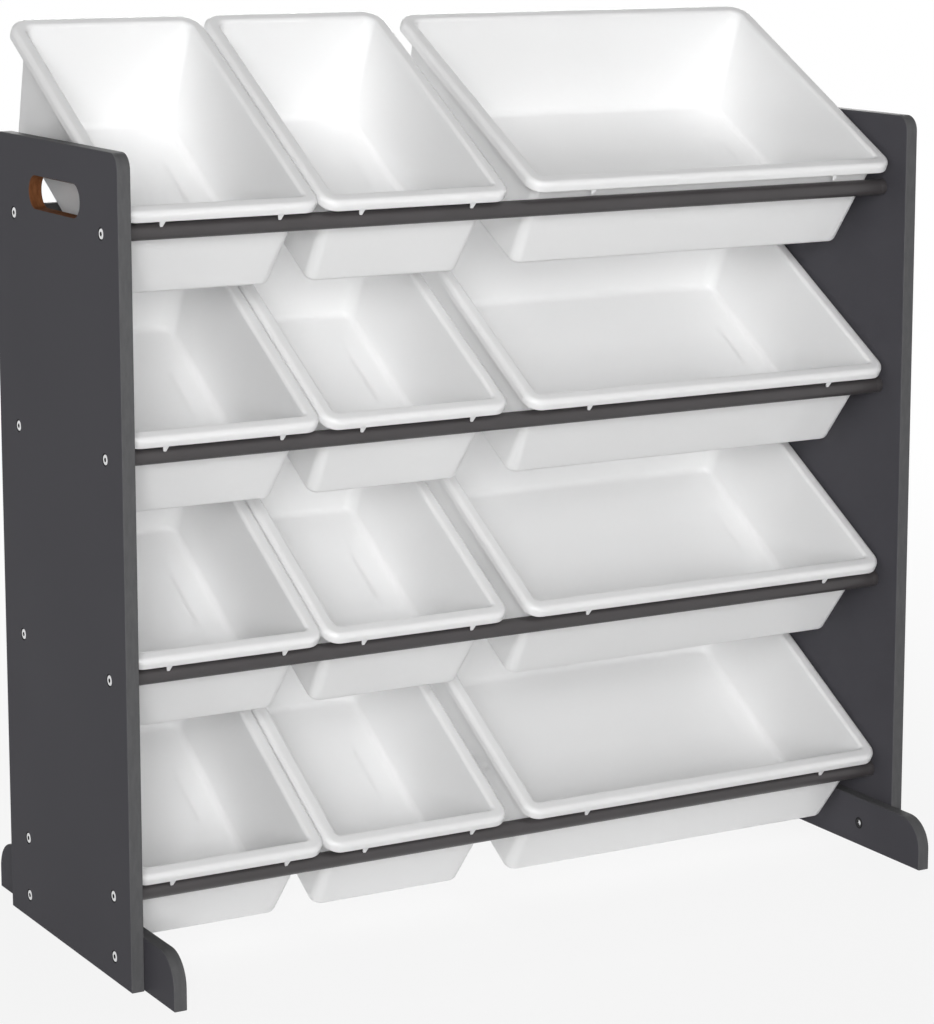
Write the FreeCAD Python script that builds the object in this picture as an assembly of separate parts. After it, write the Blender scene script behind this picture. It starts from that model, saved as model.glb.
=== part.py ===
import FreeCAD, Part
import math
import os

# Toy storage organizer: two side boards on two foot boards, joined by four
# pairs of cross rods, with three loose bins hung aslant on each pair.
# Millimetres. +X to the right seen from the front, the front faces -Y, +Z up.
# Origin: on the floor, midway between the side boards and midway along the feet.

# ---- side boards and feet
unit_width = 860.0            # over the outer faces of the two side boards
board_depth = 286.0           # side board, front edge to back edge
board_height = 755.0
board_thickness = 13.0        # side boards and feet alike
board_corner_radius = 15.0    # top corners of the side boards
board_edge_ease = 1.2         # rounding along the cut edges of every board
foot_length = 412.0
foot_height = 50.0
foot_corner_radius = 30.0

# ---- hand slot near the top of each side board
slot_length = 118.0
slot_height = 30.0
slot_drop = 49.5              # top edge of the board to the slot's centre line

# ---- cross rods
tier_names = ["top", "upper", "lower", "bottom"]
rod_diameter = 16.0
rod_wall = 1.2
rod_plug_length = 18.0
rod_plug_clearance = 0.05     # plug in the rod's bore, all round
front_rod_inset = 37.5        # front edge of the board to the rod's axis
back_rod_inset = 45.5         # back edge of the board to the rod's axis
bottom_rod_height = 80.5      # floor to the lowest rods' axes
top_rod_drop = 73.0           # top edge of the board to the highest rods' axes

# ---- socket bolts, and the threaded sleeves that take them in the feet
bolt_diameter = 6.0
bolt_clearance = 0.3          # bolt in the board's hole, all round
thread_clearance = 0.05       # bolt in its plug or sleeve, all round
bolt_head_diameter = 10.0
bolt_head_height = 3.0
bolt_head_ease = 0.75         # rounding round the top of the head
bolt_head_recess = 3.2        # depth of the pocket in the board for the head
bolt_head_gap = 0.8           # head in its pocket, all round
socket_width = 4.0            # across the flats of the hexagon
socket_depth = 2.0
rod_bolt_reach = 14.0         # how far a rod bolt enters its plug
foot_bolt_height = 23.5       # floor to the axes of the foot bolts
foot_bolt_recess = 1.0        # bolt tip short of the foot's inner face
sleeve_diameter = 9.0
sleeve_length = 11.0

# ---- bins
small_bin_width = 196.0       # over the rim
bin_length = 309.0            # over the rim, front to back
bin_wall = 2.0
rim_overhang = 12.0           # rim beyond the outer face of the wall
rim_drop = 10.5               # height of the turned-down lip
front_rim_radius = 16.0       # front corners of the rim, seen square to it
back_rim_radius = 22.0        # back corners of the rim
rim_edge_radius = 5.0         # rounding along the top outer edge of the rim
front_wall_radius = 7.0       # upright front corners of the wall, at the rim
back_wall_radius = 12.0       # upright back corners of the wall, at the rim
wall_radius_growth = 4.0      # how much each of those corners grows by the floor
floor_edge_radius = 6.0       # between the walls and the floor, outside
front_taper = 5.0             # degrees that each wall leans in
side_taper = 3.0
back_taper = 9.0
side_gap = 1.0                # side board to the nearest rim
small_gap = 2.0               # between the two small bins of a tier
wide_gap = 20.0               # between the middle bin and the wide one

# ---- small teeth under the front lip
tooth_height = 5.5
tooth_top_width = 6.0
tooth_tip_width = 2.6
small_tooth_inset = 40.0      # side of the rim to the tooth's middle, small bins
wide_tooth_inset = 69.0       # the same, wide bins

# ---- ribs under the floor, which rest on the back rod
rib_height = 11.8             # underside of the floor to the bottom of the rib
rib_length = 60.0
rib_thickness = 3.0
rib_inset = 49.0              # side of the rim to the rib's middle

# ---- how a bin hangs: its front wall leans on the front rod, the tips of its teeth level with
# the top of the rod, and its ribs lie on the back rod. The back rod above sets tilt and depth.
seat_gap = 0.3                # left between a bin and each of its rods
rod_above_rim = 35.2          # rim plane to the nearest side of the back rod above
raised_by = 7.5               # how much less far down the top wide bin is pushed

# ---- worked out from the sizes above
clear_width = unit_width - 2 * board_thickness
wide_bin_width = clear_width - 2 * small_bin_width - 2 * side_gap - small_gap - wide_gap
rod_radius = rod_diameter / 2
front_rod_y = -board_depth / 2 + front_rod_inset
back_rod_y = board_depth / 2 - back_rod_inset
top_rod_height = board_height - top_rod_drop
tier_pitch = (top_rod_height - bottom_rod_height) / (len(tier_names) - 1)
tier_heights = [top_rod_height - i * tier_pitch for i in range(len(tier_names))]
rod_spacing = back_rod_y - front_rod_y
bolt_radius = bolt_diameter / 2
reach = rod_radius + seat_gap
rod_below_rim = rim_drop + tooth_height + rod_radius   # rim plane to the front rod's axis
bin_tilt = (math.acos((rod_below_rim + rod_radius + rod_above_rim) / math.hypot(rod_spacing, tier_pitch))
            - math.atan2(rod_spacing, tier_pitch))
rest_depth = rod_below_rim + rod_spacing * math.sin(bin_tilt) - reach
bin_depth = rest_depth - rib_height   # top of the rim to the underside of the floor
front_lean = math.radians(front_taper)
left_bin_x = -clear_width / 2 + side_gap + small_bin_width / 2
bin_places = {
    "left": (small_bin_width, left_bin_x, small_tooth_inset),
    "middle": (small_bin_width, left_bin_x + small_bin_width + small_gap, small_tooth_inset),
    "wide": (wide_bin_width, clear_width / 2 - side_gap - wide_bin_width / 2, wide_tooth_inset),
}

V = FreeCAD.Vector
X_AXIS = V(1, 0, 0)
ON_PLANE = 0.001              # how near a plane an edge is taken to lie in it


def save(node, shape):
    """Write one named piece, or one group of like pieces."""
    shape.exportStep(os.path.join("parts", node + ".step"))


def rounded_outline(corners):
    """Closed wire through (x, y, z, radius) corners, with an arc at each radius above 0."""
    points = [V(x, y, z) for x, y, z, radius in corners]
    starts, ends, arcs = [], [], []
    for i, corner in enumerate(points):
        radius = corners[i][3]
        to_last = (points[i - 1] - corner).normalize()
        to_next = (points[(i + 1) % len(points)] - corner).normalize()
        if radius <= 0:
            starts.append(corner)
            ends.append(corner)
            arcs.append(None)
            continue
        half_angle = to_last.getAngle(to_next) / 2
        cut_back = radius / math.tan(half_angle)
        middle = (to_last + to_next).normalize() * (radius / math.sin(half_angle) - radius)
        starts.append(corner + to_last * cut_back)
        ends.append(corner + to_next * cut_back)
        arcs.append(Part.Arc(starts[i], corner + middle, ends[i]).toShape())
    edges = []
    for i in range(len(points)):
        if arcs[i]:
            edges.append(arcs[i])
        edges.append(Part.LineSegment(ends[i], starts[(i + 1) % len(points)]).toShape())
    return Part.Wire(edges)


def rod_between(x_start, x_end, y, z, radius):
    """Cylinder along X."""
    return Part.makeCylinder(radius, x_end - x_start, V(x_start, y, z), X_AXIS)


def edges_on_plane(shape, axis, place):
    """Edges of a shape that lie wholly in the plane where the given coordinate is place."""
    found = []
    for edge in shape.Edges:
        box = edge.BoundBox
        low, high = {"x": (box.XMin, box.XMax), "z": (box.ZMin, box.ZMax)}[axis]
        if abs(low - place) < ON_PLANE and abs(high - place) < ON_PLANE:
            found.append(edge)
    return found


def eased(board, x_start):
    """Board with the edges of both its faces rounded."""
    edges = edges_on_plane(board, "x", x_start) + edges_on_plane(board, "x", x_start + board_thickness)
    return board.makeFillet(board_edge_ease, edges)


def bolt_axes():
    """(y, z) of every rod bolt."""
    return [(y, z) for z in tier_heights for y in (front_rod_y, back_rod_y)]


def foot_bolt_axes():
    return [(front_rod_y, foot_bolt_height), (back_rod_y, foot_bolt_height)]


def side_board(side):
    """Side board: rounded top corners, hand slot, and a stepped hole for every bolt."""
    x_start = clear_width / 2 if side > 0 else -unit_width / 2
    front, back = -board_depth / 2, board_depth / 2
    outline = rounded_outline([
        (x_start, front, 0, 0),
        (x_start, back, 0, 0),
        (x_start, back, board_height, board_corner_radius),
        (x_start, front, board_height, board_corner_radius),
    ])
    slot_z = board_height - slot_drop
    end_radius = slot_height / 2
    straight = slot_length / 2 - end_radius
    slot = Part.makeBox(board_thickness, 2 * straight, slot_height,
                        V(x_start, -straight, slot_z - end_radius))
    for y in (-straight, straight):
        slot = slot.fuse(rod_between(x_start, x_start + board_thickness, y, slot_z, end_radius))
    board = Part.Face(outline).extrude(X_AXIS * board_thickness).cut(slot).removeSplitter()
    board = eased(board, x_start)
    outer_x = side * unit_width / 2
    pocket_start = min(outer_x, outer_x - side * bolt_head_recess)
    cuts = []
    for y, z in bolt_axes() + foot_bolt_axes():
        cuts.append(rod_between(x_start, x_start + board_thickness, y, z, bolt_radius + bolt_clearance))
        cuts.append(rod_between(pocket_start, pocket_start + bolt_head_recess, y, z,
                                bolt_head_diameter / 2 + bolt_head_gap))
    return board.cut(cuts)


def foot(side):
    """Foot board on the inner face of a side board, with a hole for each threaded sleeve."""
    x_start = clear_width / 2 - board_thickness if side > 0 else -clear_width / 2
    front, back = -foot_length / 2, foot_length / 2
    outline = rounded_outline([
        (x_start, front, 0, 0),
        (x_start, back, 0, 0),
        (x_start, back, foot_height, foot_corner_radius),
        (x_start, front, foot_height, foot_corner_radius),
    ])
    board = eased(Part.Face(outline).extrude(X_AXIS * board_thickness), x_start)
    holes = [rod_between(x_start, x_start + board_thickness, y, z, sleeve_diameter / 2)
             for y, z in foot_bolt_axes()]
    return board.cut(holes)


def sleeves(side):
    """Threaded sleeves let into a foot from its inner face."""
    foot_inner_x = side * (clear_width / 2 - board_thickness)
    x_start = min(foot_inner_x, foot_inner_x + side * sleeve_length)
    rings = []
    for y, z in foot_bolt_axes():
        outside = rod_between(x_start, x_start + sleeve_length, y, z, sleeve_diameter / 2)
        bore = rod_between(x_start, x_start + sleeve_length, y, z, bolt_radius + thread_clearance)
        rings.append(outside.cut(bore))
    return Part.makeCompound(rings)


def cross_rod(y, z):
    """Steel tube from side board to side board."""
    half = clear_width / 2
    return rod_between(-half, half, y, z, rod_radius).cut(
        rod_between(-half, half, y, z, rod_radius - rod_wall))


def rod_plugs(side):
    """Threaded plugs in the rod ends at one side."""
    end_x = side * clear_width / 2
    x_start = min(end_x, end_x - side * rod_plug_length)
    plugs = []
    for y, z in bolt_axes():
        outside = rod_between(x_start, x_start + rod_plug_length, y, z,
                              rod_radius - rod_wall - rod_plug_clearance)
        bore = rod_between(x_start, x_start + rod_plug_length, y, z, bolt_radius + thread_clearance)
        plugs.append(outside.cut(bore))
    return Part.makeCompound(plugs)


def bolt(side, y, z, tip_x):
    """Socket bolt with its head in the pocket of the side board."""
    head_in = side * (unit_width / 2 - bolt_head_recess)
    head_out = head_in + side * bolt_head_height
    head = rod_between(min(head_in, head_out), max(head_in, head_out), y, z, bolt_head_diameter / 2)
    head = head.makeFillet(bolt_head_ease, edges_on_plane(head, "x", head_out))
    shank = rod_between(min(head_in, tip_x), max(head_in, tip_x), y, z, bolt_radius)
    corner = socket_width / math.sqrt(3)
    angles = [math.radians(60 * i) for i in range(7)]
    hexagon = [V(head_out, y + corner * math.cos(a), z + corner * math.sin(a)) for a in angles]
    socket = Part.Face(Part.makePolygon(hexagon)).extrude(X_AXIS * (-side * socket_depth))
    return head.fuse(shank).cut(socket).removeSplitter()


def rod_bolts(side):
    tip_x = side * (clear_width / 2 - rod_bolt_reach)
    return Part.makeCompound([bolt(side, y, z, tip_x) for y, z in bolt_axes()])


def foot_bolts(side):
    tip_x = side * (clear_width / 2 - board_thickness + foot_bolt_recess)
    return Part.makeCompound([bolt(side, y, z, tip_x) for y, z in foot_bolt_axes()])


def bin_section(width, depth, inset):
    """Wire round a bin's wall at a depth below the rim; inset is measured in from the rim's edge."""
    def lean(degrees):
        return inset + depth * math.tan(math.radians(degrees))

    half = width / 2 - lean(side_taper)
    y_front, y_back = lean(front_taper), bin_length - lean(back_taper)
    growth = wall_radius_growth * depth / bin_depth - (inset - rim_overhang)
    front, back = front_wall_radius + growth, back_wall_radius + growth
    return rounded_outline([(-half, y_front, -depth, front), (half, y_front, -depth, front),
                            (half, y_back, -depth, back), (-half, y_back, -depth, back)])


def bin_block(width, depth, inset, edge_radius):
    """Solid from the rim down to a depth, tapered like the wall, with its bottom edge rounded."""
    block = Part.makeLoft([bin_section(width, 0, inset), bin_section(width, depth, inset)], True, True)
    return block.makeFillet(edge_radius, edges_on_plane(block, "z", -depth))


def rim_block(width, inset):
    """Rounded plate the size of the rim, set in on its sides and its top, with its top edge rounded."""
    half, y_back = width / 2 - inset, bin_length - inset
    front, back = front_rim_radius - inset, back_rim_radius - inset
    wire = rounded_outline([(-half, inset, -rim_drop, front), (half, inset, -rim_drop, front),
                            (half, y_back, -rim_drop, back), (-half, y_back, -rim_drop, back)])
    block = Part.Face(wire).extrude(V(0, 0, rim_drop - inset))
    return block.makeFillet(rim_edge_radius - inset, edges_on_plane(block, "z", -inset))


def tooth(x):
    """Small wedge under the front lip."""
    top, tip = tooth_top_width / 2, tooth_tip_width / 2
    low = -rim_drop - tooth_height
    corners = [V(x - top, 0, -rim_drop), V(x - tip, 0, low), V(x + tip, 0, low), V(x + top, 0, -rim_drop)]
    face = Part.Face(Part.makePolygon(corners + corners[:1]))
    return face.extrude(V(0, bin_wall, 0))


def front_rod_in_bin(rod_below):
    """Front rod's distance back from the lip, in the bin's own frame."""
    return rim_overhang + rod_below * math.tan(front_lean) - reach / math.cos(front_lean)


def tilt(rod_below):
    """Rim to level, in radians, with the rim this far above the front rod and the ribs on the back rod."""
    return math.asin((rest_depth + reach - rod_below) / rod_spacing)


def rib(x):
    """Rib under the floor, over the back rod."""
    middle_y = front_rod_in_bin(rod_below_rim) + rod_spacing * math.cos(bin_tilt)
    return Part.makeBox(rib_thickness, rib_length, rib_height + bin_wall / 2,
                        V(x - rib_thickness / 2, middle_y - rib_length / 2, -rest_depth))


def storage_bin(width, tooth_inset):
    """Bin in its own frame: x across, y back along the rim from the front lip, z square to the rim."""
    rim = rim_block(width, 0).cut(rim_block(width, bin_wall))
    shell = bin_block(width, bin_depth, rim_overhang, floor_edge_radius)
    inside = bin_block(width, bin_depth - bin_wall, rim_overhang + bin_wall, floor_edge_radius - bin_wall)
    solid = rim.fuse(shell).cut(inside)
    for side in (-1, 1):
        solid = solid.fuse(tooth(side * (width / 2 - tooth_inset)))
        solid = solid.fuse(rib(side * (width / 2 - rib_inset)))
    return solid.removeSplitter()


def seat(rod_below, x, rod_z):
    """Placement that hangs a bin on a pair of rods, with its rim this far above the front rod."""
    slope = tilt(rod_below)
    y_local = front_rod_in_bin(rod_below)
    y = front_rod_y - y_local * math.cos(slope) - rod_below * math.sin(slope)
    z = rod_z - y_local * math.sin(slope) + rod_below * math.cos(slope)
    return FreeCAD.Placement(V(x, y, z), FreeCAD.Rotation(X_AXIS, math.degrees(slope)))


def build():
    os.makedirs("parts", exist_ok=True)
    for side, side_name in ((-1, "left"), (1, "right")):
        save(side_name + "_side_board", side_board(side))
        save(side_name + "_foot", foot(side))
        save(side_name + "_foot_sleeves", sleeves(side))
        save(side_name + "_rod_plugs", rod_plugs(side))
        save(side_name + "_rod_bolts", rod_bolts(side))
        save(side_name + "_foot_bolts", foot_bolts(side))
    bins = {place: storage_bin(width, inset) for place, (width, x, inset) in bin_places.items()}
    for tier, rod_z in zip(tier_names, tier_heights):
        save(tier + "_front_rod", cross_rod(front_rod_y, rod_z))
        save(tier + "_back_rod", cross_rod(back_rod_y, rod_z))
        for place, (width, x, inset) in bin_places.items():
            raised = tier == "top" and place == "wide"
            piece = bins[place].copy()
            piece.Placement = seat(rod_below_rim + (raised_by if raised else 0), x, rod_z)
            save(tier + "_" + place + "_bin", piece)


build()
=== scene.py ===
import math

import bmesh
import bpy
from mathutils import Matrix, Vector


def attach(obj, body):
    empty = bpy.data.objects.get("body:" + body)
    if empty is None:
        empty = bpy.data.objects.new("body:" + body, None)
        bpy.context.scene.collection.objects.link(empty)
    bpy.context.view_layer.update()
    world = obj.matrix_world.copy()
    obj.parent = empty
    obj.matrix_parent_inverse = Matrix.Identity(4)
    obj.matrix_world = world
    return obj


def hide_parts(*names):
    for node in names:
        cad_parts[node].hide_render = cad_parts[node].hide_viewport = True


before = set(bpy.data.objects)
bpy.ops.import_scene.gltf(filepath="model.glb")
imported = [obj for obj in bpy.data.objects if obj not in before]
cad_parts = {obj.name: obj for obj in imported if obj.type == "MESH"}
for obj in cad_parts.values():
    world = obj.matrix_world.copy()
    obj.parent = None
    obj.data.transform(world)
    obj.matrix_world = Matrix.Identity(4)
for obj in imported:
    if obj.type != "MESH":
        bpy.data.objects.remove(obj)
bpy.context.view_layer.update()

# Sizes repeated from the CAD model, in millimetres. MM takes them to the frame's metres.
MM = 0.001
TIERS = ["top", "upper", "lower", "bottom"]
TOP_ROD, BOTTOM_ROD = 682.0, 80.5
CLEAR_WIDTH = 834.0
FRONT_ROD_Y, BACK_ROD_Y = -105.5, 97.5
ROD_RADIUS, ROD_BORE = 8.0, 6.8
SMALL_WIDTH, WIDE_WIDTH = 196.0, 418.0
BIN_LENGTH, BIN_WALL = 309.0, 2.0
RIM_OVERHANG, RIM_DROP = 12.0, 10.5
RIM_RADIUS = (16.0, 22.0)           # front and back corners
WALL_RADIUS = (7.0, 12.0)           # the same, where the wall meets the rim
WALL_GROWTH = 4.0                   # by how much the wall's corners widen down to the floor
STEEPEST = 9.0                      # degrees, the back wall's lean
TAPERS = [math.radians(a) for a in (5.0, 3.0, STEEPEST)]   # front, sides, back
FRONT_TAPER, SIDE_TAPER = TAPERS[:2]
RIM_EDGE, INNER_ROUND, UNDER_FILLET, LIP_ROUND = 5.0, 3.5, 2.0, 0.7
OUTER_FILLET, INNER_FILLET = 6.0, 7.0
TOOTH_HEIGHT, TOOTH_TOP, TOOTH_TIP = 5.5, 6.0, 2.6
SMALL_TOOTH_INSET, WIDE_TOOTH_INSET = 40.0, 69.0
RIB_HEIGHT, RIB_LENGTH, RIB_THICKNESS, RIB_INSET = 11.8, 60.0, 3.0, 49.0
BOARD_GAP, SMALL_GAP = 1.0, 2.0     # bin to side board, and between the small bins
SEAT_GAP, ROD_BELOW, ROD_ABOVE, RAISED_BY = 0.3, 24.0, 35.2, 7.5
SLOT_Z, SLOT_STRAIGHT, SLOT_RADIUS = 705.5, 44.0, 15.0
FOOT_BOLT_Z, POCKET_RADIUS = 23.5, 5.8
SOCKET_RADIUS, SOCKET_DEPTH, HEAD_X = 2.4, 2.0, 429.8

# Fine shapes of these meshes, in millimetres: soft edges, joins, and the seam of an end cap.
RIB_EDGE, TOOTH_EDGE = 0.6, 0.35
TOOTH_SUNK, TOOTH_SET_BACK = 0.5, 0.05
ROD_END, SEAM_AT, SEAM_WIDE, SEAM_DEEP, SEAM_FLOOR = 1.2, 6.0, 0.5, 0.3, 0.1

# Where the bins hang, as the CAD model works it out.
PITCH = (TOP_ROD - BOTTOM_ROD) / 3
SPACING = BACK_ROD_Y - FRONT_ROD_Y
REACH = ROD_RADIUS + SEAT_GAP
BIN_TILT = (math.acos((ROD_BELOW + ROD_RADIUS + ROD_ABOVE) / math.hypot(SPACING, PITCH))
            - math.atan2(SPACING, PITCH))
REST_DEPTH = ROD_BELOW + SPACING * math.sin(BIN_TILT) - REACH
BIN_DEPTH = REST_DEPTH - RIB_HEIGHT
LEFT_X = -CLEAR_WIDTH / 2 + BOARD_GAP + SMALL_WIDTH / 2
WIDE_X = CLEAR_WIDTH / 2 - BOARD_GAP - WIDE_WIDTH / 2
PLACES = {                          # width, middle along X, side of the rim to a tooth
    "left": (SMALL_WIDTH, LEFT_X, SMALL_TOOTH_INSET),
    "middle": (SMALL_WIDTH, LEFT_X + SMALL_WIDTH + SMALL_GAP, SMALL_TOOTH_INSET),
    "wide": (WIDE_WIDTH, WIDE_X, WIDE_TOOTH_INSET),
}

# How finely the meshes are made, and the extra rings (in millimetres) that keep curves crisp.
CORNER_STEPS, ROUND_STEPS, RIM_STEPS, FINE_STEPS = 10, 6, 4, 3
ROD_SIDES, ROD_RINGS = 48, (350, 200, 70)
OUTER_SHARES, INNER_SHARES = (0.9, 0.6, 0.3, 0.08), (0.08, 0.3, 0.6, 0.88)
SUPPORT_INSETS, SUPPORT_RADII, LIP_SUPPORT = (8.0, 2.0), (6.0, 8.0), 0.8
SMALLEST_RADIUS = 1.0

# Masks in the materials. A distance in metres is multiplied by RAMP_GAIN to suit a colour ramp.
RAMP_GAIN = 10.0
POCKET_SOFT, SLOT_MARGIN, SLOT_SOFT = 0.2, 0.5, 0.5     # millimetres
RAGGED = 0.0005                                         # metres
SOCKET_MIDDLE, SOCKET_HALF = 0.55, 0.52                 # shares of the socket's depth
# The first dark colour is painted shade in the bolt pockets of the boards, the second painted
# shade in the hex sockets of the bolts.
POCKET_SHADE, SOCKET_SHADE = (0.012, 0.012, 0.013), (0.05, 0.05, 0.05)

# The floor, sky and lamps, in metres and watts. Glow and sky are 1 where they show as white.
FLOOR_RADIUS, FLOOR_SIDES, FLOOR_GREY = 14.0, 96, 0.74
NEAR_GLOW, FAR_GLOW, FADE_FROM, FADE_TO, FADE_GAIN = 0.87, 1.0, 0.6, 2.5, 0.1
HORIZON, ZENITH, ZENITH_FROM = 0.32, 0.04, 0.8
MIDDLE = (0, 0, 0.42)
LAMP_SIZE = 2.2
LAMPS = {
    "key": ((-2.58, -5.05, 2.37), 88),
    "low": ((-2.65, -5.3, 1.55), 188),
    "back": ((1.8, 3.3, 1.7), 85),
}

# The camera, fitted to the photograph's corners with the shift held small.
CAMERA_PLACE = (-1.53242, -2.6865, 0.99923)             # metres
CAMERA_DOWN, CAMERA_TURN = 9.62, 29.67                  # degrees
LENS, SENSOR = 112.9, 36.0                              # millimetres
SHIFT = -0.1
FARTHEST_SEEN = 60.0                                    # metres


# ---------------------------------------------------------------- node helpers
def new_material(name):
    mat = bpy.data.materials.new(name)
    mat.use_nodes = True
    nodes, links = mat.node_tree.nodes, mat.node_tree.links
    nodes.clear()
    out = nodes.new("ShaderNodeOutputMaterial")
    return mat, nodes, links, out


def noise(nodes, links, coords, scale, detail=3.0, rough=0.5, stretch=None):
    """Noise value between 0 and 1 in object space. Scale is in features per metre."""
    tex = nodes.new("ShaderNodeTexNoise")
    tex.inputs["Scale"].default_value = scale
    tex.inputs["Detail"].default_value = detail
    tex.inputs["Roughness"].default_value = rough
    if stretch:
        mapping = nodes.new("ShaderNodeMapping")
        mapping.inputs["Scale"].default_value = stretch
        links.new(coords, mapping.inputs["Vector"])
        coords = mapping.outputs["Vector"]
    links.new(coords, tex.inputs["Vector"])
    return tex.outputs["Fac"]


def ramp(nodes, links, fac, low, high, start=0.35, end=0.65):
    """Colour or grey that goes from low to high as fac goes from start to end."""
    node = nodes.new("ShaderNodeValToRGB")
    links.new(fac, node.inputs["Fac"])
    for element, place, value in zip(node.color_ramp.elements, (start, end), (low, high)):
        element.position = place
        element.color = (*value, 1) if isinstance(value, tuple) else (value, value, value, 1)
    return node.outputs["Color"]


def math_node(nodes, links, operation, *values):
    node = nodes.new("ShaderNodeMath")
    node.operation = operation
    for socket, value in zip(node.inputs, values):
        if isinstance(value, (int, float)):
            socket.default_value = value
        else:
            links.new(value, socket)
    return node.outputs[0]


def calculator(nodes, links):
    """math_node with the material's nodes and links given."""
    return lambda operation, *values: math_node(nodes, links, operation, *values)


def mix_colour(nodes, links, fac, a, b):
    """Colour a where fac is 0, and b where it is 1."""
    node = nodes.new("ShaderNodeMix")
    node.data_type = "RGBA"
    links.new(fac, node.inputs["Factor"])
    for socket, value in ((node.inputs["A"], a), (node.inputs["B"], b)):
        if isinstance(value, tuple):
            socket.default_value = (*value, 1)
        else:
            links.new(value, socket)
    return node.outputs["Result"]


def bump(nodes, links, height, distance, strength=1.0, below=None):
    node = nodes.new("ShaderNodeBump")
    node.inputs["Distance"].default_value = distance
    node.inputs["Strength"].default_value = strength
    links.new(height, node.inputs["Height"])
    if below:
        links.new(below, node.inputs["Normal"])
    return node.outputs["Normal"]


def length_of(calc, a, b):
    """Length of the vector with the parts a and b."""
    return calc("SQRT", calc("ADD", calc("MULTIPLY", a, a), calc("MULTIPLY", b, b)))


def from_bolt_axis(nodes, links, place):
    """Distance in metres from the nearest bolt's axis, whose line runs along X."""
    calc = calculator(nodes, links)
    middle, half = (FRONT_ROD_Y + BACK_ROD_Y) / 2 * MM, SPACING / 2 * MM
    off_middle = calc("ABSOLUTE", calc("SUBTRACT", place.outputs["Y"], middle))
    across = calc("SUBTRACT", off_middle, half)
    above = calc("SUBTRACT", place.outputs["Z"], (BOTTOM_ROD - PITCH / 2) * MM)
    to_rod = calc("SUBTRACT", calc("WRAP", above, PITCH * MM, 0.0), PITCH / 2 * MM)
    to_foot = calc("SUBTRACT", place.outputs["Z"], FOOT_BOLT_Z * MM)
    height = calc("MINIMUM", calc("ABSOLUTE", to_rod), calc("ABSOLUTE", to_foot))
    return length_of(calc, across, height)


def within(nodes, links, distance, radius, soft):
    """1 up to radius and 0 past radius + soft. Distance is in metres, the rest in millimetres."""
    scaled = math_node(nodes, links, "MULTIPLY", distance, RAMP_GAIN)
    return ramp(nodes, links, scaled, 1.0, 0.0,
                radius * MM * RAMP_GAIN, (radius + soft) * MM * RAMP_GAIN)


# ---------------------------------------------------------------- materials
def plastic_material():
    """White moulded plastic that light soaks into: faint clouds, slight waves, fine grain."""
    mat, nodes, links, out = new_material("bin_plastic")
    coords = nodes.new("ShaderNodeTexCoord").outputs["Object"]
    shader = nodes.new("ShaderNodeBsdfPrincipled")
    cloud = noise(nodes, links, coords, scale=9.0, detail=2.0)
    links.new(ramp(nodes, links, cloud, (0.945, 0.947, 0.950), (0.960, 0.960, 0.960)),
              shader.inputs["Base Color"])
    smears = noise(nodes, links, coords, scale=35.0)
    links.new(ramp(nodes, links, smears, 0.30, 0.38), shader.inputs["Roughness"])
    wave = noise(nodes, links, coords, scale=14.0, detail=1.0)
    grain = noise(nodes, links, coords, scale=1600.0, detail=2.0)
    wavy = bump(nodes, links, wave, distance=0.0006, strength=0.5)
    links.new(bump(nodes, links, grain, distance=0.00004, strength=0.6, below=wavy),
              shader.inputs["Normal"])
    shader.inputs["Specular IOR Level"].default_value = 0.4
    shader.inputs["Subsurface Weight"].default_value = 0.7
    shader.inputs["Subsurface Radius"].default_value = (1.0, 1.0, 1.0)
    shader.inputs["Subsurface Scale"].default_value = 0.003
    links.new(shader.outputs[0], out.inputs["Surface"])
    return mat


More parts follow.
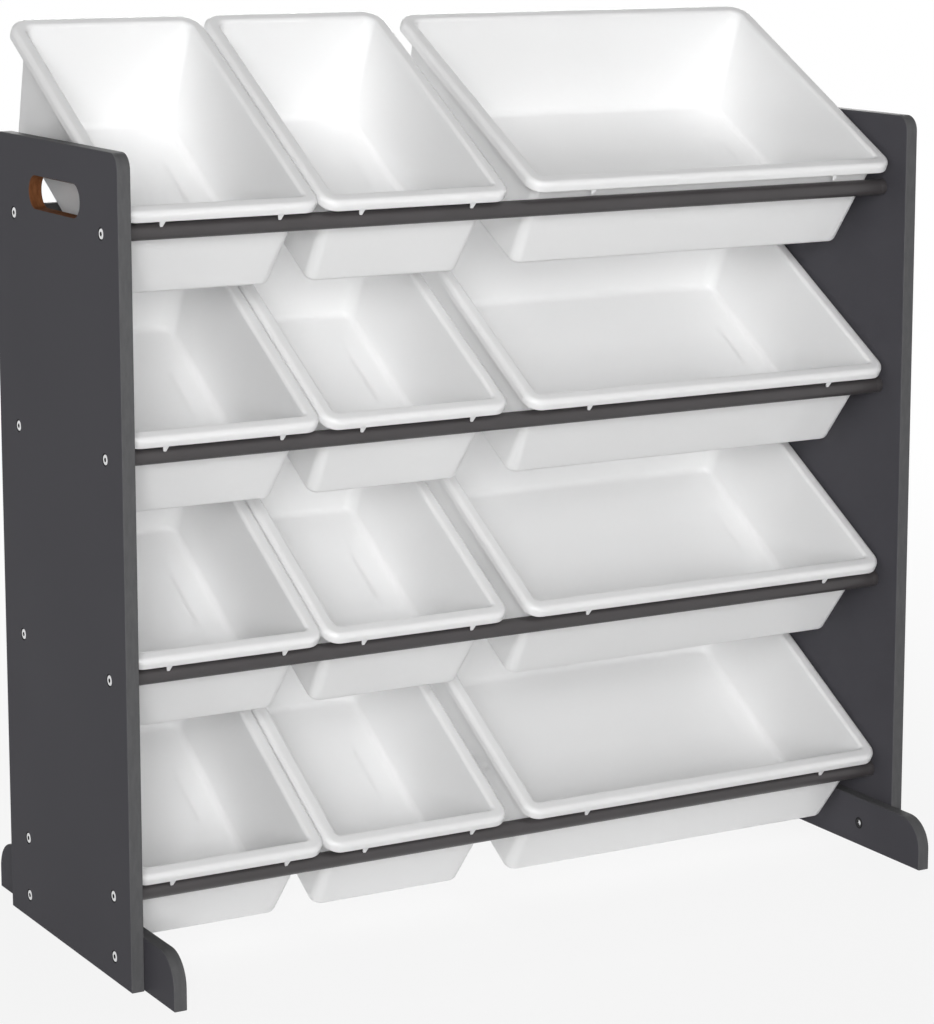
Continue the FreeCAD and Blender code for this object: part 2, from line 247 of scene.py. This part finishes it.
def board_material():
    """Dark grey satin paint on fibreboard, with painted light making the sawn edges lighter and
    painted shade darkening the bolt pockets, bare in the hand slot.
    """
    mat, nodes, links, out = new_material("painted_board")
    coords = nodes.new("ShaderNodeTexCoord").outputs["Object"]
    place = nodes.new("ShaderNodeSeparateXYZ")
    links.new(coords, place.inputs[0])
    normal_parts = nodes.new("ShaderNodeSeparateXYZ")
    links.new(nodes.new("ShaderNodeNewGeometry").outputs["Normal"], normal_parts.inputs[0])
    shader = nodes.new("ShaderNodeBsdfPrincipled")
    calc = calculator(nodes, links)

    cloud = noise(nodes, links, coords, scale=7.0)
    face = ramp(nodes, links, cloud, (0.072, 0.070, 0.080), (0.079, 0.077, 0.087))
    fibre = noise(nodes, links, coords, scale=260.0, detail=4.0, rough=0.6,
                  stretch=(1.0, 0.25, 0.25))
    # painted light: surfaces turned away from X (the sawn edges) get a lighter grey than the
    # faces, standing in for the front light on them; the fibre grain in it is real
    edge = ramp(nodes, links, fibre, (0.098, 0.098, 0.101), (0.112, 0.112, 0.115))
    facing = calc("ABSOLUTE", normal_parts.outputs["X"])
    lit_edge_share = ramp(nodes, links, facing, 1.0, 0.0, start=0.55, end=0.9)
    paint = mix_colour(nodes, links, lit_edge_share, face, edge)

    # painted shade: dark pockets round the sunken bolt heads, standing in for the shade in the
    # recess
    in_shaded_pocket = within(nodes, links, from_bolt_axis(nodes, links, place),
                       POCKET_RADIUS, POCKET_SOFT)
    paint = mix_colour(nodes, links, in_shaded_pocket, paint, POCKET_SHADE)

    # bare fibreboard on the wall of the hand slot
    beside = calc("SUBTRACT", calc("ABSOLUTE", place.outputs["Y"]), SLOT_STRAIGHT * MM)
    above = calc("SUBTRACT", place.outputs["Z"], SLOT_Z * MM)
    from_line = length_of(calc, calc("MAXIMUM", beside, 0.0), above)
    ragged = calc("MULTIPLY", fibre, RAGGED)
    in_slot = within(nodes, links, calc("ADD", from_line, ragged),
                     SLOT_RADIUS + SLOT_MARGIN, SLOT_SOFT)
    bare = ramp(nodes, links, fibre, (0.095, 0.034, 0.013), (0.185, 0.075, 0.031),
                start=0.3, end=0.7)
    links.new(mix_colour(nodes, links, in_slot, paint, bare), shader.inputs["Base Color"])

    peel = noise(nodes, links, coords, scale=520.0, detail=2.0)
    satin = ramp(nodes, links, cloud, 0.50, 0.58)
    links.new(mix_colour(nodes, links, in_slot, satin, (0.9, 0.9, 0.9)),
              shader.inputs["Roughness"])
    fibrous = bump(nodes, links, fibre, distance=0.0001, strength=0.4)
    links.new(bump(nodes, links, peel, distance=0.00012, strength=0.5, below=fibrous),
              shader.inputs["Normal"])
    shader.inputs["Specular IOR Level"].default_value = 0.05
    links.new(shader.outputs[0], out.inputs["Surface"])
    return mat


def coat_material():
    """Dark grey powder coat on steel tube."""
    mat, nodes, links, out = new_material("rod_paint")
    coords = nodes.new("ShaderNodeTexCoord").outputs["Object"]
    shader = nodes.new("ShaderNodeBsdfPrincipled")
    cloud = noise(nodes, links, coords, scale=18.0, detail=2.0)
    links.new(ramp(nodes, links, cloud, (0.049, 0.045, 0.046), (0.057, 0.052, 0.054)),
              shader.inputs["Base Color"])
    speck = noise(nodes, links, coords, scale=1100.0, detail=2.0)
    links.new(ramp(nodes, links, speck, 0.32, 0.42), shader.inputs["Roughness"])
    links.new(bump(nodes, links, speck, distance=0.0001, strength=0.5), shader.inputs["Normal"])
    shader.inputs["Specular IOR Level"].default_value = 0.45
    links.new(shader.outputs[0], out.inputs["Surface"])
    return mat


def metal_material(name, low, high, rough_low, rough_high, socket=False):
    """Steel with fine turning marks about X. With socket, a bolt's hex socket gets painted shade
    inside.
    """
    mat, nodes, links, out = new_material(name)
    coords = nodes.new("ShaderNodeTexCoord").outputs["Object"]
    shader = nodes.new("ShaderNodeBsdfPrincipled")
    shader.inputs["Metallic"].default_value = 1.0
    cloud = noise(nodes, links, coords, scale=240.0)
    colour = ramp(nodes, links, cloud, low, high)
    if socket:
        # painted shade: the inside of the hex socket is coloured dark, standing in for the shade
        # in the recess
        calc = calculator(nodes, links)
        place = nodes.new("ShaderNodeSeparateXYZ")
        links.new(coords, place.inputs[0])
        depth = calc("SUBTRACT", HEAD_X * MM, calc("ABSOLUTE", place.outputs["X"]))
        off_middle = calc("ABSOLUTE", calc("SUBTRACT", depth, SOCKET_DEPTH * MM * SOCKET_MIDDLE))
        deep = calc("LESS_THAN", off_middle, SOCKET_DEPTH * MM * SOCKET_HALF)
        near = calc("LESS_THAN", from_bolt_axis(nodes, links, place), SOCKET_RADIUS * MM)
        colour = mix_colour(nodes, links, calc("MULTIPLY", deep, near), colour, SOCKET_SHADE)
    links.new(colour, shader.inputs["Base Color"])
    links.new(ramp(nodes, links, cloud, rough_low, rough_high), shader.inputs["Roughness"])
    marks = noise(nodes, links, coords, scale=2600.0, detail=2.0, stretch=(0.2, 1.0, 1.0))
    links.new(bump(nodes, links, marks, distance=0.00003, strength=0.5), shader.inputs["Normal"])
    links.new(shader.outputs[0], out.inputs["Surface"])
    return mat


PLASTIC = plastic_material()
BOARD = board_material()
COAT = coat_material()
BOLT = metal_material("bolt_steel", (0.66, 0.66, 0.66), (0.76, 0.76, 0.77), 0.24, 0.34, True)
ZINC = metal_material("zinc_steel", (0.64, 0.64, 0.61), (0.74, 0.74, 0.72), 0.28, 0.40)
BLACK = metal_material("black_steel", (0.030, 0.030, 0.031), (0.050, 0.050, 0.052), 0.35, 0.45)


# ---------------------------------------------------------------- mesh helpers
def finish_mesh(bm, name, material):
    """Smooth object from a bmesh whose points are in place, in metres."""
    bmesh.ops.recalc_face_normals(bm, faces=bm.faces)
    mesh = bpy.data.meshes.new(name)
    bm.to_mesh(mesh)
    bm.free()
    mesh.materials.append(material)
    mesh.shade_smooth()
    obj = bpy.data.objects.new(name, mesh)
    bpy.context.scene.collection.objects.link(obj)
    weighted = obj.modifiers.new("weighted normals", "WEIGHTED_NORMAL")
    weighted.keep_sharp = True
    return obj


def join_rings(bm, rings, closed=False):
    """Quads between successive rings of equally many vertices."""
    pairs = list(zip(rings, rings[1:]))
    if closed:
        pairs.append((rings[-1], rings[0]))
    for a, b in pairs:
        for i in range(len(a)):
            j = (i + 1) % len(a)
            bm.faces.new((a[i], a[j], b[j], b[i]))


def soften(bm, edges, width):
    bmesh.ops.bevel(bm, geom=list(edges), offset=width, segments=2, profile=0.5, affect="EDGES")


def box_with_soft_edges(bm, low, high, edge):
    """Box with rounded edges, added to a bmesh."""
    made = bmesh.ops.create_cube(bm, size=1.0)["verts"]
    for v in made:
        v.co = Vector((low[k] + (v.co[k] + 0.5) * (high[k] - low[k]) for k in range(3)))
    soften(bm, {e for v in made for e in v.link_edges}, edge)


def arc(steps):
    """Shares from 0 to 1 in equal steps."""
    return [k / steps for k in range(steps + 1)]


def quarter(steps):
    """The shares of arc, each with its angle over a quarter turn."""
    return [(t, math.radians(90 * t)) for t in arc(steps)]


# ---------------------------------------------------------------- bins
def wall_inset(base, taper, depth, floor, radius):
    """How far in a leaning wall is at a depth, with its curve into the floor."""
    straight = base + depth * math.tan(taper)
    if depth <= floor - radius * (1 - math.sin(taper)):
        return straight
    middle = base + (floor - radius) * math.tan(taper) + radius / math.cos(taper)
    return middle - math.sqrt(max(radius ** 2 - (depth - floor + radius) ** 2, 0))


def ring_points(width, depth, insets, radii):
    """Rounded rectangle; insets are front, side and back, radii front and back."""
    half = width / 2 - insets[1]
    y_front, y_back = insets[0], BIN_LENGTH - insets[2]
    front, back = radii
    corners = [(-half + front, y_front + front, front, 180),
               (half - front, y_front + front, front, 270),
               (half - back, y_back - back, back, 0),
               (-half + back, y_back - back, back, 90)]
    points = []
    for x, y, radius, start in corners:
        for k in range(CORNER_STEPS + 1):
            a = math.radians(start + 90 * k / CORNER_STEPS)
            points.append(Vector((x + radius * math.cos(a), y + radius * math.sin(a), -depth)))
    return points


def wall_ring(width, depth, base, floor, radius):
    """Ring of a wall whose face is base in from the rim's edge, floor deep, with a curved foot."""
    insets = [wall_inset(base, t, depth, floor, radius) for t in TAPERS]
    curved = insets[1] - base - depth * math.tan(SIDE_TAPER)
    growth = WALL_GROWTH * depth / BIN_DEPTH - (base - RIM_OVERHANG) - curved
    radii = [max(r + growth, SMALLEST_RADIUS) for r in WALL_RADIUS]
    return ring_points(width, depth, insets, radii)


def rim_ring(width, depth, inset, radii=None):
    """Ring of the rim, equally far in all round."""
    return ring_points(width, depth, (inset,) * 3, radii or [r - inset for r in RIM_RADIUS])


def foot_depths(floor, radius):
    """Depths of the rings round the curve from wall to floor, from the top down."""
    angles = [math.radians(STEEPEST + (90 - STEEPEST) * t) for t in arc(ROUND_STEPS)]
    return [floor - radius * (1 - math.sin(a)) for a in angles]


def shell_rings(width):
    """Rings from the underside of the floor, up the outside, over the rim and down the inside."""
    outside = RIM_OVERHANG
    inside = RIM_OVERHANG + BIN_WALL
    inner_floor = BIN_DEPTH - BIN_WALL

    def floor_ring(extra, floor, base, radius):
        insets = [wall_inset(base, t, floor, floor, radius) + extra for t in TAPERS]
        return ring_points(width, floor, insets, SUPPORT_RADII)

    # underside and outer wall
    rings = [floor_ring(extra, BIN_DEPTH, outside, OUTER_FILLET) for extra in SUPPORT_INSETS]
    for depth in reversed(foot_depths(BIN_DEPTH, OUTER_FILLET)):
        rings.append(wall_ring(width, depth, outside, BIN_DEPTH, OUTER_FILLET))
    for share in OUTER_SHARES:
        rings.append(wall_ring(width, BIN_DEPTH * share, outside, BIN_DEPTH, OUTER_FILLET))

    # fillet under the rim, then the rim's underside and the inside of its lip
    wall_top = BIN_WALL + UNDER_FILLET
    for t, a in quarter(FINE_STEPS):
        inset = outside - UNDER_FILLET * (1 - math.cos(a))
        depth = wall_top - UNDER_FILLET * math.sin(a)
        radii = [w + (r - outside + UNDER_FILLET - w) * t for w, r in zip(WALL_RADIUS, RIM_RADIUS)]
        rings.append(rim_ring(width, depth, inset, radii))
    corner = RIM_EDGE - BIN_WALL
    for _, a in quarter(RIM_STEPS):
        rings.append(rim_ring(width, BIN_WALL + corner * (1 - math.cos(a)),
                              RIM_EDGE - corner * math.sin(a)))

    # round the lip's lower edge and up over the rim
    low = RIM_DROP - LIP_ROUND
    rings.append(rim_ring(width, low - LIP_SUPPORT, BIN_WALL))
    for _, a in quarter(FINE_STEPS):
        rings.append(rim_ring(width, low + LIP_ROUND * math.sin(a),
                              BIN_WALL - LIP_ROUND * (1 - math.cos(a))))
    for _, a in quarter(FINE_STEPS):
        rings.append(rim_ring(width, low + LIP_ROUND * math.cos(a),
                              LIP_ROUND * (1 - math.sin(a))))
    rings.append(rim_ring(width, low - LIP_SUPPORT, 0.0))
    for _, a in quarter(ROUND_STEPS):
        rings.append(rim_ring(width, RIM_EDGE * (1 - math.sin(a)), RIM_EDGE * (1 - math.cos(a))))

    # round into the inner wall, down it and across the floor
    for t, a in quarter(ROUND_STEPS):
        depth = INNER_ROUND * (1 - math.cos(a))
        inset = inside - INNER_ROUND * (1 - math.sin(a))
        radii = [(r - inside + INNER_ROUND) * (1 - t) + (w - BIN_WALL) * t
                 for r, w in zip(RIM_RADIUS, WALL_RADIUS)]
        lean = [inset + depth * math.tan(taper) for taper in TAPERS]
        rings.append(ring_points(width, depth, lean, radii))
    for share in INNER_SHARES:
        rings.append(wall_ring(width, BIN_DEPTH * share, inside, inner_floor, INNER_FILLET))
    for depth in foot_depths(inner_floor, INNER_FILLET):
        rings.append(wall_ring(width, depth, inside, inner_floor, INNER_FILLET))
    for extra in reversed(SUPPORT_INSETS):
        rings.append(floor_ring(extra, inner_floor, inside, INNER_FILLET))
    return rings


def add_tooth(bm, x):
    """Small wedge under the front lip, with softened edges."""
    top, tip = TOOTH_TOP / 2, TOOTH_TIP / 2
    high, low = -RIM_DROP + TOOTH_SUNK, -RIM_DROP - TOOTH_HEIGHT
    outline = [(x - top, high), (x - tip, low), (x + tip, low), (x + top, high)]
    front = [bm.verts.new((a, TOOTH_SET_BACK, b)) for a, b in outline]
    back = [bm.verts.new((a, BIN_WALL - TOOTH_SET_BACK, b)) for a, b in outline]
    faces = [bm.faces.new(front), bm.faces.new(back[::-1])]
    for i in range(4):
        j = (i + 1) % 4
        faces.append(bm.faces.new((front[i], back[i], back[j], front[j])))
    soften(bm, {e for f in faces for e in f.edges}, TOOTH_EDGE)


def bin_matrix(rod_below, x, rod_z):
    """Places a bin on its rods, as the CAD model does."""
    slope = math.asin((REST_DEPTH + REACH - rod_below) / SPACING)
    y_local = RIM_OVERHANG + rod_below * math.tan(FRONT_TAPER) - REACH / math.cos(FRONT_TAPER)
    y = FRONT_ROD_Y - y_local * math.cos(slope) - rod_below * math.sin(slope)
    z = rod_z - y_local * math.sin(slope) + rod_below * math.cos(slope)
    place = Matrix.Translation((x * MM, y * MM, z * MM))
    return place @ Matrix.Rotation(slope, 4, "X") @ Matrix.Scale(MM, 4)


def make_bin(tier, place, rod_z):
    """Bin in one shell, with its teeth and ribs sunk a little into it."""
    width, x, tooth_inset = PLACES[place]
    bm = bmesh.new()
    rings = [[bm.verts.new(p) for p in ring] for ring in shell_rings(width)]
    join_rings(bm, rings)
    bm.faces.new(rings[0])
    bm.faces.new(rings[-1])
    rod_back = (RIM_OVERHANG + ROD_BELOW * math.tan(FRONT_TAPER) - REACH / math.cos(FRONT_TAPER)
                + SPACING * math.cos(BIN_TILT))
    half_thick, half_long = RIB_THICKNESS / 2, RIB_LENGTH / 2
    for side in (-1, 1):
        add_tooth(bm, side * (width / 2 - tooth_inset))
        rib_x = side * (width / 2 - RIB_INSET)
        box_with_soft_edges(
            bm, (rib_x - half_thick, rod_back - half_long, -REST_DEPTH),
            (rib_x + half_thick, rod_back + half_long, -BIN_DEPTH + BIN_WALL / 2), RIB_EDGE)
    raised = tier == "top" and place == "wide"
    bm.transform(bin_matrix(ROD_BELOW + (RAISED_BY if raised else 0), x, rod_z))
    obj = finish_mesh(bm, f"{tier}_{place}_bin_shell", PLASTIC)
    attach(obj, f"{tier}_{place}_bin_body")
    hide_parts(f"{tier}_{place}_bin")


# ---------------------------------------------------------------- rods
def make_rod(node, y, z):
    """Coated tube: soft ends, and the fine seam of an end cap near each end."""
    half = CLEAR_WIDTH / 2
    end = [(half, ROD_BORE)]
    for _, a in quarter(RIM_STEPS):
        end.append((half - ROD_END * (1 - math.cos(a)), ROD_RADIUS - ROD_END * (1 - math.sin(a))))
    end += [(half - SEAM_AT + SEAM_WIDE, ROD_RADIUS),
            (half - SEAM_AT + SEAM_FLOOR, ROD_RADIUS - SEAM_DEEP),
            (half - SEAM_AT - SEAM_FLOOR, ROD_RADIUS - SEAM_DEEP),
            (half - SEAM_AT - SEAM_WIDE, ROD_RADIUS)]
    profile = end + [(x, ROD_RADIUS) for x in ROD_RINGS]
    profile += [(-x, r) for x, r in reversed(profile)]
    bm = bmesh.new()
    rings = []
    for x, radius in profile:
        ring = []
        for k in range(ROD_SIDES):
            a = math.radians(360 * k / ROD_SIDES)
            point = (x * MM, (y + radius * math.cos(a)) * MM, (z + radius * math.sin(a)) * MM)
            ring.append(bm.verts.new(point))
        rings.append(ring)
    join_rings(bm, rings, closed=True)
    obj = finish_mesh(bm, node + "_tube", COAT)
    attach(obj, "frame")
    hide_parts(node)


for i, tier in enumerate(TIERS):
    rod_z = TOP_ROD - i * PITCH
    make_rod(tier + "_front_rod", FRONT_ROD_Y, rod_z)
    make_rod(tier + "_back_rod", BACK_ROD_Y, rod_z)
    for place in PLACES:
        make_bin(tier, place, rod_z)

# ---------------------------------------------------------------- finishes of the CAD nodes
FINISH = {"side_board": BOARD, "foot": BOARD, "rod_bolts": BOLT, "foot_bolts": BOLT,
          "foot_sleeves": BLACK, "rod_plugs": ZINC}
for side in ("left", "right"):
    for node, material in FINISH.items():
        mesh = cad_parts[f"{side}_{node}"].data
        for k in range(len(mesh.materials)):
            mesh.materials[k] = material


# ---------------------------------------------------------------- floor, background and light
def seen_rays(nodes, links):
    """1 for rays from the camera, in a mirror or through glass, 0 for the rest."""
    path = nodes.new("ShaderNodeLightPath")
    calc = calculator(nodes, links)
    both = calc("MAXIMUM", path.outputs["Is Camera Ray"], path.outputs["Is Glossy Ray"])
    return calc("MAXIMUM", both, path.outputs["Is Transmission Ray"])


def floor_material():
    """White floor that keeps the object's shadow near it and fades to plain white farther off."""
    mat, nodes, links, out = new_material("studio_floor")
    diffuse = nodes.new("ShaderNodeBsdfDiffuse")
    diffuse.inputs["Color"].default_value = (FLOOR_GREY, FLOOR_GREY, FLOOR_GREY, 1)
    glow = nodes.new("ShaderNodeEmission")
    glow.inputs["Color"].default_value = (1, 1, 1, 1)
    coords = nodes.new("ShaderNodeTexCoord").outputs["Object"]
    length = nodes.new("ShaderNodeVectorMath")
    length.operation = "LENGTH"
    links.new(coords, length.inputs[0])
    calc = calculator(nodes, links)
    far = ramp(nodes, links, calc("MULTIPLY", length.outputs["Value"], FADE_GAIN),
               NEAR_GLOW, FAR_GLOW, FADE_FROM * FADE_GAIN, FADE_TO * FADE_GAIN)
    mix = nodes.new("ShaderNodeMixShader")
    links.new(calc("MULTIPLY", far, seen_rays(nodes, links)), mix.inputs[0])
    links.new(diffuse.outputs[0], mix.inputs[1])
    links.new(glow.outputs[0], mix.inputs[2])
    links.new(mix.outputs[0], out.inputs["Surface"])
    return mat


def make_floor():
    bm = bmesh.new()
    bmesh.ops.create_circle(bm, cap_ends=True, radius=FLOOR_RADIUS, segments=FLOOR_SIDES)
    mesh = bpy.data.meshes.new("floor")
    bm.to_mesh(mesh)
    bm.free()
    mesh.materials.append(floor_material())
    floor = bpy.data.objects.new("floor", mesh)
    bpy.context.scene.collection.objects.link(floor)


def make_world():
    """Plain white where it is seen; its light on the object falls off from horizon to zenith."""
    world = bpy.data.worlds.new("studio")
    bpy.context.scene.world = world
    world.use_nodes = True
    nodes, links = world.node_tree.nodes, world.node_tree.links
    nodes.clear()
    out = nodes.new("ShaderNodeOutputWorld")
    background = nodes.new("ShaderNodeBackground")
    background.inputs["Color"].default_value = (1, 1, 1, 1)
    up = nodes.new("ShaderNodeSeparateXYZ")
    links.new(nodes.new("ShaderNodeTexCoord").outputs["Generated"], up.inputs[0])
    light = ramp(nodes, links, up.outputs["Z"], HORIZON, ZENITH, 0.0, ZENITH_FROM)
    links.new(math_node(nodes, links, "MAXIMUM", seen_rays(nodes, links), light),
              background.inputs["Strength"])
    links.new(background.outputs[0], out.inputs["Surface"])


def area_light(name, place, power):
    """Square soft lamp aimed at the middle of the object."""
    light = bpy.data.lights.new(name, "AREA")
    light.shape = "SQUARE"
    light.size = LAMP_SIZE
    light.energy = power
    obj = bpy.data.objects.new(name, light)
    obj.location = place
    obj.rotation_euler = (Vector(MIDDLE) - Vector(place)).to_track_quat("-Z", "Y").to_euler()
    bpy.context.scene.collection.objects.link(obj)


make_floor()
make_world()
for name, (place, power) in LAMPS.items():
    area_light(name, place, power)


# ---------------------------------------------------------------- camera
camera_data = bpy.data.cameras.new("camera")
camera_data.lens = LENS
camera_data.sensor_width = SENSOR
camera_data.shift_y = SHIFT
camera_data.clip_end = FARTHEST_SEEN
camera = bpy.data.objects.new("camera", camera_data)
camera.location = CAMERA_PLACE
camera.rotation_euler = (math.radians(90 - CAMERA_DOWN), 0, math.radians(-CAMERA_TURN))
bpy.context.scene.collection.objects.link(camera)
bpy.context.scene.camera = camera

bpy.context.scene.view_settings.view_transform = "Standard"
